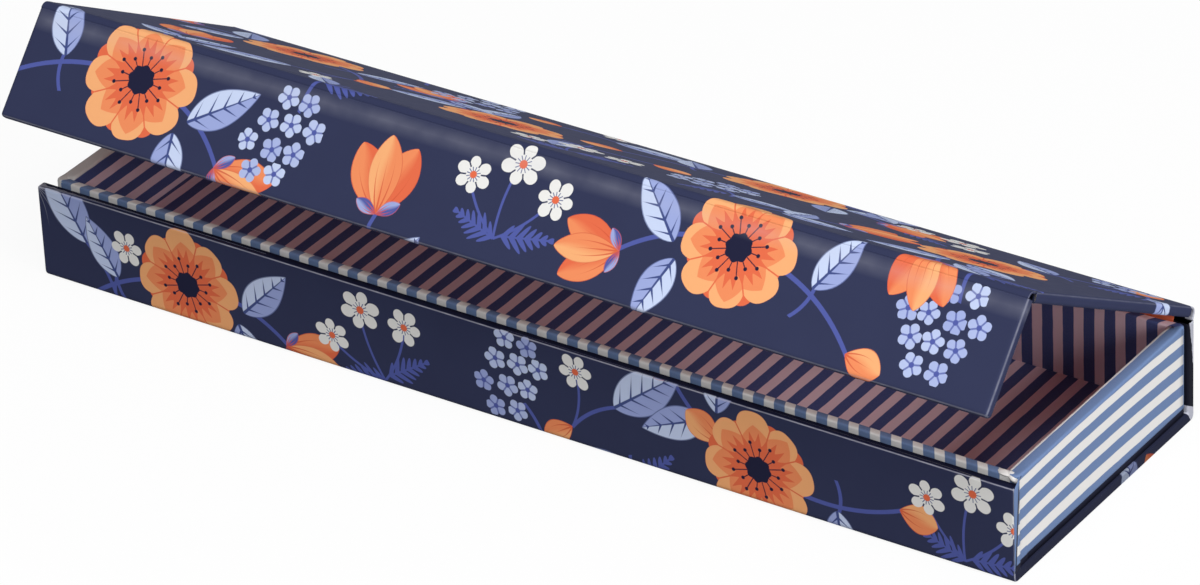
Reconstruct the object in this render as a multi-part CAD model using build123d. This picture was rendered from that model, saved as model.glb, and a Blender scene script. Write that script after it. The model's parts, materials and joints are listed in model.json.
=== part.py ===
"""Book-style rigid pencil case: striped tray in a printed cover with a fold-over lid and a magnetic flap.

Millimetres, +Z up, +X along the case, -Y to the front. The origin is the centre of the base's underside.
The lid and the flap are drawn closed, then turned about their paper hinges to the stored, half-open pose.
"""
from build123d import *
import math
import os

# Cover: three boards round the tray, one for the lid and one for the flap
case_length = 230.0
case_depth = 68.2
cover_board = 2.0
cover_paper = 0.15
lining_paper = 0.15
turn_in = 15.0
fold_radius = 1.2
edge_radius = 0.8
crease_gap = 0.4

# Tray: a rigid box of thinner board, glued a little to the right of the cover's middle
tray_end_margin = 1.9
tray_shift = 1.3
tray_height = 19.9
tray_board = 1.5
tray_sheet = 0.15
tray_turn_under = 12.0
tray_edge_radius = 0.7
tray_rim_rise = 1.2
stay_tape = 0.08
stay_width = 12.0
stay_end_gap = 3.0

# Lid, flap and their paper hinges
spine_rise = 0.2
lid_rim_gap = 0.5
lid_back_gap = 1.5
hinge_line_depth = 1.2
hinge_bulge = 0.8
flap_face_gap = 0.5
flap_table_gap = 0.3
flap_line_depth = 0.4
fold_reach = 1.5
fold_clearance = 0.35
lining_fold_gap = 3.0
lining_end_margin = 3.4
lid_angle = 29.9
flap_angle = 12.4

# Closing magnets, let into the front board and the flap board
magnet_diameter = 10.0
magnet_thickness = 1.0
magnet_spacing = 120.0
magnet_height = 11.0

# Places that follow from the sizes
cover_wall = cover_board + 2 * cover_paper
lined_wall = cover_wall + lining_paper
half_length = case_length / 2
front_y = -case_depth / 2
back_y = case_depth / 2
tray_left = tray_shift - half_length + tray_end_margin
tray_right = tray_shift + half_length - tray_end_margin
tray_front = front_y + cover_wall
tray_back = back_y - cover_wall - lining_paper
tray_base = cover_wall
tray_top = tray_base + tray_height
front_height = tray_top - tray_rim_rise
tray_wall = tray_board + 2 * tray_sheet
tray_floor_top = tray_base + tray_sheet + tray_board
spine_top = tray_top + spine_rise
lid_top = tray_top + lid_rim_gap + lined_wall
lid_back = back_y - lid_back_gap
flap_front = front_y - flap_face_gap - lined_wall
flap_bottom = flap_table_gap
lid_board_front = flap_front + lined_wall + fold_clearance
lid_paper_front = flap_front + fold_reach
flap_top = lid_top - fold_reach
flap_lining_top = lid_top - lining_fold_gap
hinge_axis = Axis((0, back_y, lid_top - hinge_line_depth), (-1, 0, 0))
flap_axis_closed = Axis((0, flap_front + flap_line_depth, lid_top - flap_line_depth), (-1, 0, 0))
lining_half_length = half_length - lining_end_margin


def block(x0, x1, y0, y1, z0, z1):
    """A box between two corners."""
    centre = Pos((x0 + x1) / 2, (y0 + y1) / 2, (z0 + z1) / 2)
    return centre * Box(x1 - x0, y1 - y0, z1 - z0)


def rectangle(y0, y1, z0, z1):
    """A rectangle of the YZ section."""
    return Pos((y0 + y1) / 2, (z0 + z1) / 2) * Rectangle(y1 - y0, z1 - z0)


def nearest(vertices, place):
    """The section's vertex that lies closest to a place."""
    return min(vertices, key=lambda v: math.hypot(v.X - place[0], v.Y - place[1]))


def round_corners(section, places, radius):
    """The section with the corners at these places rounded."""
    corners = [nearest(section.vertices(), place) for place in places]
    return fillet(corners, radius)


def along_x(section, x0, x1):
    """A YZ section carried along the case from x0 to x1."""
    plane = Plane(origin=(x0, 0, 0), x_dir=(0, 1, 0), z_dir=(1, 0, 0))
    return extrude(plane * section, amount=x1 - x0)


def turned(point, axis, degrees):
    """A YZ point turned about an axis that runs along -X."""
    angle = math.radians(degrees)
    y = point[0] - axis.position.Y
    z = point[1] - axis.position.Z
    turned_y = y * math.cos(angle) + z * math.sin(angle)
    turned_z = z * math.cos(angle) - y * math.sin(angle)
    return (axis.position.Y + turned_y, axis.position.Z + turned_z)


def lid_place(point):
    """A YZ point of the closed lid, in the stored pose."""
    return turned(point, hinge_axis, lid_angle)


def flap_place(point):
    """A YZ point of the closed flap, in the stored pose."""
    return lid_place(turned(point, flap_axis_closed, flap_angle))


def open_lid(solid):
    """A closed lid piece turned to the stored pose."""
    return solid.rotate(hinge_axis, lid_angle)


def open_flap(solid):
    """A closed flap piece turned to the stored pose."""
    return open_lid(solid.rotate(flap_axis_closed, flap_angle))


def magnets(face_y):
    """Two discs whose front faces lie at face_y."""
    discs = []
    for side in (-1, 1):
        centre = (side * magnet_spacing / 2, face_y + magnet_thickness / 2, magnet_height)
        plane = Plane(origin=centre, x_dir=(1, 0, 0), z_dir=(0, 1, 0))
        discs.append(plane * Cylinder(magnet_diameter / 2, magnet_thickness))
    return discs


def without(solid, tools):
    """A solid less each of the tools."""
    for tool in tools:
        solid = solid - tool
    return solid


def cover_body(inset):
    """Front, base and spine as one channel, drawn in by inset wherever paper covers the board."""
    section = rectangle(front_y + inset, front_y + cover_wall - inset, inset, front_height - inset)
    section += rectangle(front_y + inset, back_y - inset, inset, cover_wall - inset)
    section += rectangle(back_y - cover_wall + inset, back_y - inset, inset, spine_top)
    folds = [(front_y + inset, inset), (back_y - inset, inset)]
    section = round_corners(section, folds, fold_radius - inset)
    top = front_height - inset
    edges = [(front_y + inset, top), (front_y + cover_wall - inset, top)]
    section = round_corners(section, edges, edge_radius - inset)
    return along_x(section, inset - half_length, half_length - inset)


def case_boards():
    """Front, base and spine boards, apart from each other by the creases."""
    core = cover_body(cover_paper)
    inner = cover_paper + cover_board
    front_face = front_y + inner
    spine_face = back_y - inner
    tall = lid_top
    front = core & block(-half_length, half_length, front_y, front_face, 0, tall)
    base = core & block(-half_length, half_length, front_face + crease_gap, spine_face - crease_gap, 0, inner)
    spine = core & block(-half_length, half_length, spine_face, back_y, 0, tall)
    front = without(front, magnets(front_y + cover_paper))
    return front, base, spine


def case_cover_paper():
    """The printed sheet round front, base and spine, turned in at both ends and over the front's top."""
    skin = cover_body(0) - cover_body(cover_paper)
    inner = cover_paper + cover_board
    bare_end = half_length - turn_in
    front_back = front_y + cover_wall
    bare_front = block(-bare_end, bare_end, front_y + inner, front_back, inner, front_height - turn_in)
    bare_base = block(-bare_end, bare_end, front_y + inner, back_y - inner, inner, cover_wall)
    bare_spine = block(-bare_end, bare_end, back_y - cover_wall, back_y - inner, inner, spine_top)
    return without(skin, [bare_front, bare_base, bare_spine])


def spine_lining():
    """The lining's strip down the inside of the spine, behind the tray."""
    face = back_y - cover_wall
    strip = block(-lining_half_length, lining_half_length, face - lining_paper, face, cover_wall, spine_top)
    bare_end = half_length - turn_in
    strip += block(-bare_end, bare_end, face, face + cover_paper, cover_wall, spine_top)
    return strip


def tray_block(inset):
    """The tray's outer form without its cavity, corners and rim rounded."""
    body = block(
        tray_left + inset,
        tray_right - inset,
        tray_front + inset,
        tray_back - inset,
        tray_base + inset,
        tray_top - inset,
    )
    rounded = body.edges().filter_by(Axis.Z) + body.faces().sort_by(Axis.Z)[-1].edges()
    return fillet(rounded, tray_edge_radius - inset)


def tray_body(inset):
    """The tray with its cavity, walls drawn in by inset on both faces."""
    wall = tray_wall - inset
    body = tray_block(inset) - block(
        tray_left + wall,
        tray_right - wall,
        tray_front + wall,
        tray_back - wall,
        tray_floor_top,
        tray_top,
    )
    rim = body.faces().sort_by(Axis.Z)[-1].inner_wires()[0].edges()
    return fillet(rim, tray_edge_radius - inset)


def tray_corner_stays():
    """Four paper tapes round the tray's corners, pressed flush into the board."""
    ring = tray_block(tray_sheet) - tray_block(tray_sheet + stay_tape)
    low = tray_base + stay_end_gap
    high = tray_top - stay_end_gap
    stays = []
    for x0, x1 in ((tray_left, tray_left + stay_width), (tray_right - stay_width, tray_right)):
        for y0, y1 in ((tray_front, tray_front + stay_width), (tray_back - stay_width, tray_back)):
            stays.append(ring & block(x0, x1, y0, y1, low, high))
    return stays


def tray_boards(stays):
    """Floor and four walls; the short walls stand between the long ones."""
    core = without(tray_body(tray_sheet), stays)
    wall = tray_sheet + tray_board
    inner_front = tray_front + wall
    inner_back = tray_back - wall
    inner_left = tray_left + wall
    inner_right = tray_right - wall
    floor = core & block(inner_left, inner_right, inner_front, inner_back, tray_base, tray_floor_top)
    front = core & block(tray_left, tray_right, tray_front, inner_front, tray_base, tray_top)
    back = core & block(tray_left, tray_right, inner_back, tray_back, tray_base, tray_top)
    left = core & block(tray_left, inner_left, inner_front, inner_back, tray_base, tray_top)
    right = core & block(inner_right, tray_right, inner_front, inner_back, tray_base, tray_top)
    return floor, front, back, left, right


def tray_paper():
    """The striped sheet: outside, over the rim, down the inside and turned under the floor."""
    skin = tray_body(0) - tray_body(tray_sheet)
    bare = block(
        tray_left + tray_turn_under,
        tray_right - tray_turn_under,
        tray_front + tray_turn_under,
        tray_back - tray_turn_under,
        tray_base,
        tray_base + tray_sheet,
    )
    return skin - bare


def tray_floor_sheet():
    """The striped sheet on the tray's floor."""
    return block(
        tray_left + tray_wall,
        tray_right - tray_wall,
        tray_front + tray_wall,
        tray_back - tray_wall,
        tray_floor_top,
        tray_floor_top + tray_sheet,
    )


def lid_body(inset, front):
    """The closed lid back from front, drawn in by inset at its ends and on both faces."""
    body = block(
        inset - half_length,
        half_length - inset,
        front,
        lid_back,
        lid_top - cover_wall + inset,
        lid_top - inset,
    )
    return fillet(body.edges().filter_by(Axis.Y), edge_radius - inset)


def lid_pieces():
    """Board, printed sheet and lining of the closed lid."""
    lid_board = lid_body(cover_paper, lid_board_front)
    inner = lid_top - cover_paper - cover_board
    bare_end = half_length - turn_in
    sheet = lid_body(0, lid_paper_front) - lid_body(cover_paper, lid_paper_front)
    under = lid_top - cover_wall
    sheet -= block(-bare_end, bare_end, lid_paper_front, lid_back, under, inner)
    sheet -= block(-half_length, half_length, lid_paper_front, lid_board_front, under, lid_top - cover_paper)
    lining = block(
        -lining_half_length,
        lining_half_length,
        lid_board_front,
        lid_back,
        lid_top - lined_wall,
        lid_top - cover_wall,
    )
    lining += block(-bare_end, bare_end, lid_board_front, lid_back, lid_top - cover_wall, inner)
    return lid_board, sheet, lining


def flap_body(inset):
    """The closed flap, drawn in by inset at its ends, its free edge and both faces."""
    body = block(
        inset - half_length,
        half_length - inset,
        flap_front + inset,
        flap_front + cover_wall - inset,
        flap_bottom + inset,
        flap_top,
    )
    rounded = body.edges().filter_by(Axis.Z) + body.faces().sort_by(Axis.Z)[0].edges()
    return fillet(rounded, edge_radius - inset)


def flap_pieces():
    """Board, printed sheet and lining of the closed flap."""
    inner = flap_front + cover_paper + cover_board
    discs = magnets(inner - magnet_thickness)
    flap_board = without(flap_body(cover_paper), discs)
    bare_end = half_length - turn_in
    sheet = flap_body(0) - flap_body(cover_paper)
    sheet -= block(-bare_end, bare_end, inner, flap_front + cover_wall, flap_bottom + turn_in, flap_top)
    lining_bottom = flap_bottom + lining_end_margin
    lining = block(
        -lining_half_length,
        lining_half_length,
        flap_front + cover_wall,
        flap_front + lined_wall,
        lining_bottom,
        flap_lining_top,
    )
    lining += block(
        -bare_end,
        bare_end,
        inner,
        flap_front + cover_wall,
        flap_bottom + turn_in,
        flap_lining_top,
    )
    return flap_board, sheet, lining, discs


def strip(outer, inner, half_width):
    """A paper strip between two smooth curves, each given by its Bezier points."""
    outline = [
        Bezier(*outer),
        Line(outer[-1], inner[-1]),
        Bezier(*reversed(inner)),
        Line(inner[0], outer[0]),
    ]
    return along_x(make_face(outline), -half_width, half_width)


def lid_hinge_paper():
    """The printed sheet between the spine and the lid, bowed outwards where the hinge is half open."""
    curves = []
    for depth in (0, cover_paper):
        spine_end = (back_y - depth, spine_top)
        rising = (back_y + hinge_bulge - depth, (spine_top + lid_top) / 2)
        crown = lid_place((back_y + hinge_bulge / 2, lid_top - depth))
        lid_end = lid_place((lid_back, lid_top - depth))
        curves.append([spine_end, rising, crown, lid_end])
    return strip(curves[0], curves[1], half_length)


def lid_hinge_lining():
    """The lining between the spine and the lid."""
    curves = []
    for depth in (0, lining_paper):
        spine_end = (back_y - cover_wall - depth, spine_top)
        lid_end = lid_place((lid_back, lid_top - cover_wall - depth))
        curves.append([spine_end, lid_end])
    face = make_face(Polyline(*curves[0], *reversed(curves[1]), close=True))
    return along_x(face, -lining_half_length, lining_half_length)


def flap_hinge_paper():
    """The printed sheet round the fold between the lid and the flap."""
    slant = math.tan(math.radians(90 - flap_angle) / 2)
    corner_y = flap_front + flap_line_depth * (1 - slant)
    curves = []
    for depth in (0, cover_paper):
        lid_end = lid_place((lid_paper_front, lid_top - depth))
        corner = lid_place((corner_y + depth * slant, lid_top - depth))
        flap_end = flap_place((flap_front + depth, flap_top))
        curves.append([lid_end, corner, flap_end])
    return strip(curves[0], curves[1], half_length)


def flap_hinge_lining():
    """The lining across the inside of the fold."""
    curves = []
    for depth in (0, lining_paper):
        lid_end = lid_place((lid_board_front, lid_top - cover_wall - depth))
        flap_end = flap_place((flap_front + cover_wall + depth, flap_lining_top))
        curves.append([lid_end, flap_end])
    face = make_face(Polyline(*curves[0], *reversed(curves[1]), close=True))
    return along_x(face, -lining_half_length, lining_half_length)


def save(name, solids):
    """Write one node; a list becomes a group of separate solids."""
    if isinstance(solids, list):
        shape = Compound(children=[solid.solid() for solid in solids])
    else:
        shape = solids
    shape.label = name
    export_step(shape, f"parts/{name}.step")


def main():
    """Build every node of the case."""
    os.makedirs("parts", exist_ok=True)
    front_board, base_board, spine_board = case_boards()
    save("front_board", front_board)
    save("base_board", base_board)
    save("spine_board", spine_board)
    save("case_cover_paper", case_cover_paper())
    save("spine_lining", spine_lining())
    save("front_magnets", magnets(front_y + cover_paper))
    stays = tray_corner_stays()
    floor, front, back, left, right = tray_boards(stays)
    save("tray_floor_board", floor)
    save("tray_front_wall", front)
    save("tray_back_wall", back)
    save("tray_left_wall", left)
    save("tray_right_wall", right)
    save("tray_corner_stays", stays)
    save("tray_paper", tray_paper())
    save("tray_floor_sheet", tray_floor_sheet())
    lid_board, lid_sheet, lid_lining = lid_pieces()
    save("lid_board", open_lid(lid_board))
    save("lid_cover_paper", open_lid(lid_sheet))
    save("lid_lining", open_lid(lid_lining))
    flap_board, flap_sheet, flap_lining, flap_discs = flap_pieces()
    save("flap_board", open_flap(flap_board))
    save("flap_cover_paper", open_flap(flap_sheet))
    save("flap_lining", open_flap(flap_lining))
    save("flap_magnets", [open_flap(disc) for disc in flap_discs])
    save("lid_hinge_paper", lid_hinge_paper())
    save("lid_hinge_lining", lid_hinge_lining())
    save("flap_hinge_paper", flap_hinge_paper())
    save("flap_hinge_lining", flap_hinge_lining())
    flap_axis = lid_place((flap_axis_closed.position.Y, flap_axis_closed.position.Z))
    print("lid hinge line, y and z:", hinge_axis.position.Y, hinge_axis.position.Z)
    print("flap hinge line in the stored pose, y and z:", flap_axis[0], flap_axis[1])
    print("tray cavity, x:", tray_left + tray_wall, tray_right - tray_wall)
    print("tray cavity, y:", tray_front + tray_wall, tray_back - tray_wall)
    print("tray cavity, z:", tray_floor_top + tray_sheet, tray_top)


main()
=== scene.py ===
"""Looks of a book-style cardboard pencil case: printed covers, striped tray papers and plain linings."""
import json
import math
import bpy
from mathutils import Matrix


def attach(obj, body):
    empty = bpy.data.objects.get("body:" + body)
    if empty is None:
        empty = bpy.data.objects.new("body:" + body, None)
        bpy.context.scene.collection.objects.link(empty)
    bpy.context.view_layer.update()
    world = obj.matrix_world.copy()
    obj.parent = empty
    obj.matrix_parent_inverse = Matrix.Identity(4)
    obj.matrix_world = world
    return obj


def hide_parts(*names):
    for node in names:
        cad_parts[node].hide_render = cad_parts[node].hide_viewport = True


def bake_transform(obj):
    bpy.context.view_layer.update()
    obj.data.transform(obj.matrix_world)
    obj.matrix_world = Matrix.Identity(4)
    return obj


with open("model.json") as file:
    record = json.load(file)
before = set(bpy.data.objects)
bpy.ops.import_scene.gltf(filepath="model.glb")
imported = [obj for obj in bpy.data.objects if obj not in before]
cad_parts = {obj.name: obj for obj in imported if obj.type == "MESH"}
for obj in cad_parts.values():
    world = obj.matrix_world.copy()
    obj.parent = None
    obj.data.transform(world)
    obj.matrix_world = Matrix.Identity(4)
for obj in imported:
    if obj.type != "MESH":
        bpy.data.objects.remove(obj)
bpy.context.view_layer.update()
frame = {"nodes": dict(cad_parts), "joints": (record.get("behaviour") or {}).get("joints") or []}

from types import SimpleNamespace

import bpy
import numpy as np
from mathutils import Vector

# Lengths are millimetres unless a name says otherwise; meshes are written in metres
METRE = 0.001
JOINTS = {joint["name"]: joint for joint in frame["joints"]}
LID_ANGLE = -JOINTS["lid_hinge"]["range_deg"][0]
FLAP_ANGLE = -JOINTS["flap_hinge"]["range_deg"][0]


def turn(points, joint_name, degrees):
    """Points turned about a joint's line, which runs along -X: y' = y cos + z sin, z' = z cos - y sin."""
    centre = np.array(JOINTS[joint_name]["pos_m"]) / METRE
    angle = math.radians(degrees)
    offset = np.asarray(points, float) - centre
    turned = offset.copy()
    turned[..., 1] = offset[..., 1] * math.cos(angle) + offset[..., 2] * math.sin(angle)
    turned[..., 2] = offset[..., 2] * math.cos(angle) - offset[..., 1] * math.sin(angle)
    return turned + centre


def open_lid(points):
    """Points of the closed lid, in the stored pose."""
    return turn(points, "lid_hinge", LID_ANGLE)


def open_flap(points):
    """Points of the closed flap, in the stored pose."""
    return turn(open_lid(points), "flap_hinge", FLAP_ANGLE)


def stay(points):
    """Points of the case, which doesn't move."""
    return points


def node_points(node):
    """A node's points in millimetres."""
    mesh = frame["nodes"][node].data
    points = np.zeros(len(mesh.vertices) * 3)
    mesh.vertices.foreach_get("co", points)
    return points.reshape(-1, 3) / METRE


def node_box(node, body="case"):
    """Lowest and highest corner of a node, in the closed pose."""
    points = node_points(node)
    if body == "flap":
        points = turn(points, "flap_hinge", -FLAP_ANGLE)
    if body in ("lid", "flap"):
        points = turn(points, "lid_hinge", -LID_ANGLE)
    return points.min(axis=0), points.max(axis=0)


# Sizes read from the frame
COVER_LOW, COVER_HIGH = node_box("case_cover_paper")
FRONT_LOW, FRONT_HIGH = node_box("front_board")
TRAY_LOW, TRAY_HIGH = node_box("tray_paper")
LID_LOW, LID_HIGH = node_box("lid_board", "lid")
LID_LINING_HIGH = node_box("lid_lining", "lid")[1]
FLAP_LOW, FLAP_HIGH = node_box("flap_cover_paper", "flap")
FLAP_LINING_LOW, FLAP_LINING_HIGH = node_box("flap_lining", "flap")
FLOOR_TOP = node_box("tray_floor_sheet")[1][2]
PAPER = COVER_HIGH[0] - FRONT_HIGH[0]
WALL = FRONT_HIGH[1] - FRONT_LOW[1] + 2 * PAPER
FRONT_Y = COVER_LOW[1]
BACK_Y = COVER_HIGH[1]
FRONT_TOP = FRONT_HIGH[2] + PAPER
SPINE_TOP = COVER_HIGH[2]
HALF_LENGTH = COVER_HIGH[0]
LID_TOP = node_box("lid_cover_paper", "lid")[1][2]
LID_BACK = LID_HIGH[1]
LID_FRONT = LID_LOW[1]
FLAP_FACE = FLAP_LOW[1]
FLAP_TOP = FLAP_HIGH[2]
FLAP_BOTTOM = FLAP_LOW[2]

# Sizes of the tray's paper: wall thickness, top of its foot, painted dark as shade, and how far the front
# board's end gives way to the lap over it
TRAY_WALL = 1.8
FOOT_TOP = 3.9
LAP_DEPTH = 0.14

# Roundings of the papered edges, the steps that draw each, and how many degrees of a tip's rounding are drawn
EDGE_ROUND = 0.5
LOOSE_ROUND = 0.8
FOLD_ROUND = 1.2
CREASE_ROUND = 0.25
RIM_ROUND = 0.4
STEPS = 6
TIP_STEPS = 5
TIP_DEGREES = 84

# Steps along a papered face, and along the tray and the boards: their length, depth and height
FACE_STEPS = 91
LONG_STEPS = 60
DEEP_STEPS = 24
HIGH_STEPS = 10

def srgb(red, green, blue):
    """A colour written as 0 to 255 screen values, as linear RGBA."""
    screen = np.array([red, green, blue]) / 255
    linear = np.where(screen <= 0.04045, screen / 12.92, ((screen + 0.055) / 1.055) ** 2.4)
    return (*linear.tolist(), 1.0)


NAVY = srgb(51, 56, 84)
NAVY_SHADE = srgb(48, 52, 79)
INK = srgb(33, 34, 58)
BLACK_BLUE = srgb(15, 17, 38)
DEEP_CORAL = srgb(206, 84, 58)
CORAL = srgb(222, 106, 72)
PEACH = srgb(232, 138, 92)
CREAM_PEACH = srgb(238, 170, 116)
LILAC = srgb(152, 164, 212)
PALE_BLUE = srgb(194, 206, 234)
MID_BLUE = srgb(80, 90, 158)
VEIN_BLUE = srgb(66, 78, 130)
WHITE_PETAL = srgb(228, 227, 224)
STRIPE_BLUE = srgb(102, 125, 166)
STRIPE_WHITE = srgb(225, 223, 221)
SPECK = srgb(196, 186, 184)
LINING_CORAL = srgb(232, 118, 80)
LINING_SHADE = srgb(220, 106, 70)
GREYBOARD = srgb(150, 143, 132)
GREYBOARD_SHADE = srgb(124, 118, 110)
FLECK = srgb(92, 88, 84)
TAPE_BROWN = srgb(178, 150, 112)
TAPE_SHADE = srgb(164, 136, 98)
PALE_WEAR_AND_HIGHLIGHT = srgb(190, 191, 204)
END_SHADE = srgb(18, 18, 24)
SHADED_INSIDE_BLUE = srgb(76, 88, 142)
REFLECTED_INSIDE_WHITE = srgb(238, 210, 222)
NICKEL = srgb(196, 196, 200)
NICKEL_SHADE = srgb(176, 176, 182)


class Wire:
    """One number in a node tree. Arithmetic on wires adds Math nodes."""

    def __init__(self, net, socket):
        self.net = net
        self.socket = socket

    def __add__(self, other):
        return self.net.math("ADD", self, other)

    def __sub__(self, other):
        return self.net.math("SUBTRACT", self, other)

    def __rsub__(self, other):
        return self.net.math("SUBTRACT", other, self)

    def __mul__(self, other):
        return self.net.math("MULTIPLY", self, other)

    def __truediv__(self, other):
        return self.net.math("DIVIDE", self, other)

    def __pow__(self, other):
        return self.net.math("POWER", self, other)

    def __abs__(self):
        return self.net.math("ABSOLUTE", self)

    __radd__ = __add__
    __rmul__ = __mul__


class Net:
    """Writes nodes into a tree, in the order in which they are needed."""

    def __init__(self, tree):
        self.tree = tree

    def put(self, socket, value):
        """Link a wire or a socket to an input, or set its value."""
        if isinstance(value, Wire):
            value = value.socket
        if isinstance(value, bpy.types.NodeSocket):
            self.tree.links.new(value, socket)
        else:
            socket.default_value = value

    def node(self, kind, *values, **settings):
        """A new node with these settings, and with these values on its first inputs."""
        made = self.tree.nodes.new(kind)
        for name, value in settings.items():
            setattr(made, name, value)
        for socket, value in zip(made.inputs, values):
            if value is not None:
                self.put(socket, value)
        return made

    def fill(self, node, values):
        """Put values on the inputs of these names."""
        for name, value in values.items():
            self.put(node.inputs[name], value)
        return node

    def math(self, operation, first, second=None, third=None):
        """A Math node."""
        return Wire(self, self.node("ShaderNodeMath", first, second, third, operation=operation).outputs[0])

    def smaller(self, first, second):
        """The lesser of two."""
        return self.math("MINIMUM", first, second)

    def larger(self, first, second):
        """The greater of two."""
        return self.math("MAXIMUM", first, second)

    def above(self, value, limit):
        """1 above a limit."""
        return self.math("GREATER_THAN", value, limit)

    def below(self, value, limit):
        """1 below a limit."""
        return self.math("LESS_THAN", value, limit)

    def between(self, value, end):
        """1 from 0 to an end."""
        return self.above(value, 0.0) * self.below(value, end)

    def root(self, value):
        """Square root."""
        return self.math("SQRT", value)

    def hypot(self, first, second):
        """Length of a line with these two runs."""
        return self.root(first * first + second * second)

    def fraction(self, value):
        """What is left past the whole number below."""
        return self.math("FRACT", value)

    def off_line(self, value, shift=8.0):
        """Distance from the nearest number and a half; a shift ending in a half makes that whole numbers."""
        return abs(self.fraction(value + shift) - 0.5)

    def ramp(self, value, slope, start):
        """slope times a value on top of a start, kept between 0 and 1."""
        line = self.math("MULTIPLY_ADD", value, slope, start)
        return Wire(self, self.node("ShaderNodeClamp", line).outputs[0])

    def inside(self, depth):
        """1 where depth in millimetres is above 0, with an edge as soft as a printed one."""
        return self.ramp(depth, 1 / PRINT_BLUR, 0.5)

    def mix(self, share, first, second):
        """A colour between two."""
        made = self.node("ShaderNodeMix", share, data_type="RGBA")
        self.put(made.inputs[6], first)
        self.put(made.inputs[7], second)
        return made.outputs[2]

    def blend(self, share, first, second):
        """A shader between two."""
        return self.node("ShaderNodeMixShader", share, first, second).outputs[0]

    def noise(self, place, scale, detail=2.0, roughness=0.5):
        """Noise from 0 to 1 at a place."""
        made = self.node("ShaderNodeTexNoise")
        self.fill(made, {"Vector": place, "Scale": scale, "Detail": detail, "Roughness": roughness})
        return Wire(self, made.outputs["Fac"])

    def stretch(self, place, factors):
        """A place multiplied by three factors."""
        return self.node("ShaderNodeVectorMath", place, factors, operation="MULTIPLY").outputs[0]

    def split(self, place):
        """A place's first two coordinates."""
        parts = self.node("ShaderNodeSeparateXYZ", place)
        return Wire(self, parts.outputs[0]), Wire(self, parts.outputs[1])

    def kept(self, name, output="Fac"):
        """What the mesh keeps under a name."""
        return Wire(self, self.node("ShaderNodeAttribute", attribute_name=name).outputs[output])

    def use(self, group, **values):
        """A node of a group with its inputs filled."""
        return self.fill(self.node("ShaderNodeGroup", node_tree=group), values)


TAU = 2 * math.pi
PRINT_BLUR = 0.12
SOCKETS = {"colour": "NodeSocketColor", "place": "NodeSocketVector"}
PLACE_INPUTS = "across along centre_across centre_along "
FLOWER_INPUTS = PLACE_INPUTS + "turn radius petals notch petal_colour line_colour "
RUN_INPUTS = PLACE_INPUTS + "cosine sine length width "


def new_group(name, inputs, outputs="colour mask"):
    """A shader node group: its net, its inputs as wires by name, and its output node.

    A socket whose name ends in colour or place holds one, and the others hold numbers.
    """
    tree = bpy.data.node_groups.new(name, "ShaderNodeTree")
    for side, labels in (("INPUT", inputs), ("OUTPUT", outputs)):
        for label in labels.split():
            kind = SOCKETS.get(label.split("_")[-1], "NodeSocketFloat")
            tree.interface.new_socket(name=label, in_out=side, socket_type=kind)
    net = Net(tree)
    source = net.node("NodeGroupInput")
    wires = SimpleNamespace(**{label: Wire(net, source.outputs[label]) for label in inputs.split()})
    return net, wires, net.node("NodeGroupOutput")


def polar(net, wires):
    """Distance from the motif's centre in millimetres, and angle."""
    across = wires.across - wires.centre_across
    along = wires.along - wires.centre_along
    return net.hypot(across, along), net.math("ARCTAN2", along, across) + wires.turn


def petal_share(net, angle, petals):
    """0 on a petal's middle line and 1 between two petals."""
    return net.off_line(angle * petals / TAU) * 2.0


def along_run(net, wires):
    """Distance along and beside a motif's own line."""
    across = wires.across - wires.centre_across
    along = wires.along - wires.centre_along
    return across * wires.cosine + along * wires.sine, along * wires.cosine - across * wires.sine


def blossom_group():
    """Large flower in two rows of petals, each row notched by a power curve, stamens round a dark eye."""
    net, wires, sink = new_group("print_blossom", FLOWER_INPUTS + "heart_colour rim_colour")
    distance, angle = polar(net, wires)
    radius = wires.radius
    petals = wires.petals
    share = distance / radius
    between = petal_share(net, angle, petals)
    wobble = net.math("SINE", angle * 3.0 + wires.turn * 5.0) * 0.04
    front = net.inside((1.0 - wires.notch * between ** 3.0 + wobble - share) * radius)
    behind = 1.0 - between
    back = net.inside((0.9 - wires.notch * behind ** 2.0 - wobble - share) * radius)
    flame = petal_share(net, angle, petals * 3.0)
    heart = net.inside((flame ** 1.5 * 0.2 - between * 0.08 + 0.5 - share) * radius)
    rim = net.inside(share * radius - (0.99 - between * 0.24) * radius * 0.84 + wobble * radius)
    petal = net.mix(rim, wires.petal_colour, wires.rim_colour)
    petal = net.mix(heart, petal, wires.heart_colour)
    gap = (1.0 - between) * distance * math.pi / petals
    half_parting, half_thread, anther_radius, stamens = 0.15, 0.11, 0.4, 16.0
    petal = net.mix(net.inside(half_parting - gap) * front, petal, wires.heart_colour)
    petal = net.mix(front, wires.heart_colour, petal)
    aside = net.off_line(angle * stamens / TAU) * TAU / stamens * distance
    longer = net.above(net.fraction(angle * stamens / 2.0 / TAU + 8.0), 0.5)
    reach = (longer * 0.11 + 0.37) * radius
    thread = net.inside(half_thread - aside) * net.below(distance, reach)
    anther = net.inside(anther_radius - net.hypot(aside, distance - reach))
    scallop = net.math("SINE", angle * 8.0) * 0.014 + 0.23
    eye = net.inside(scallop * radius - distance)
    dark = net.larger(net.larger(thread, anther), eye)
    net.fill(sink, {"colour": net.mix(dark, petal, wires.line_colour), "mask": net.larger(front, back)})
    return net.tree


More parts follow.
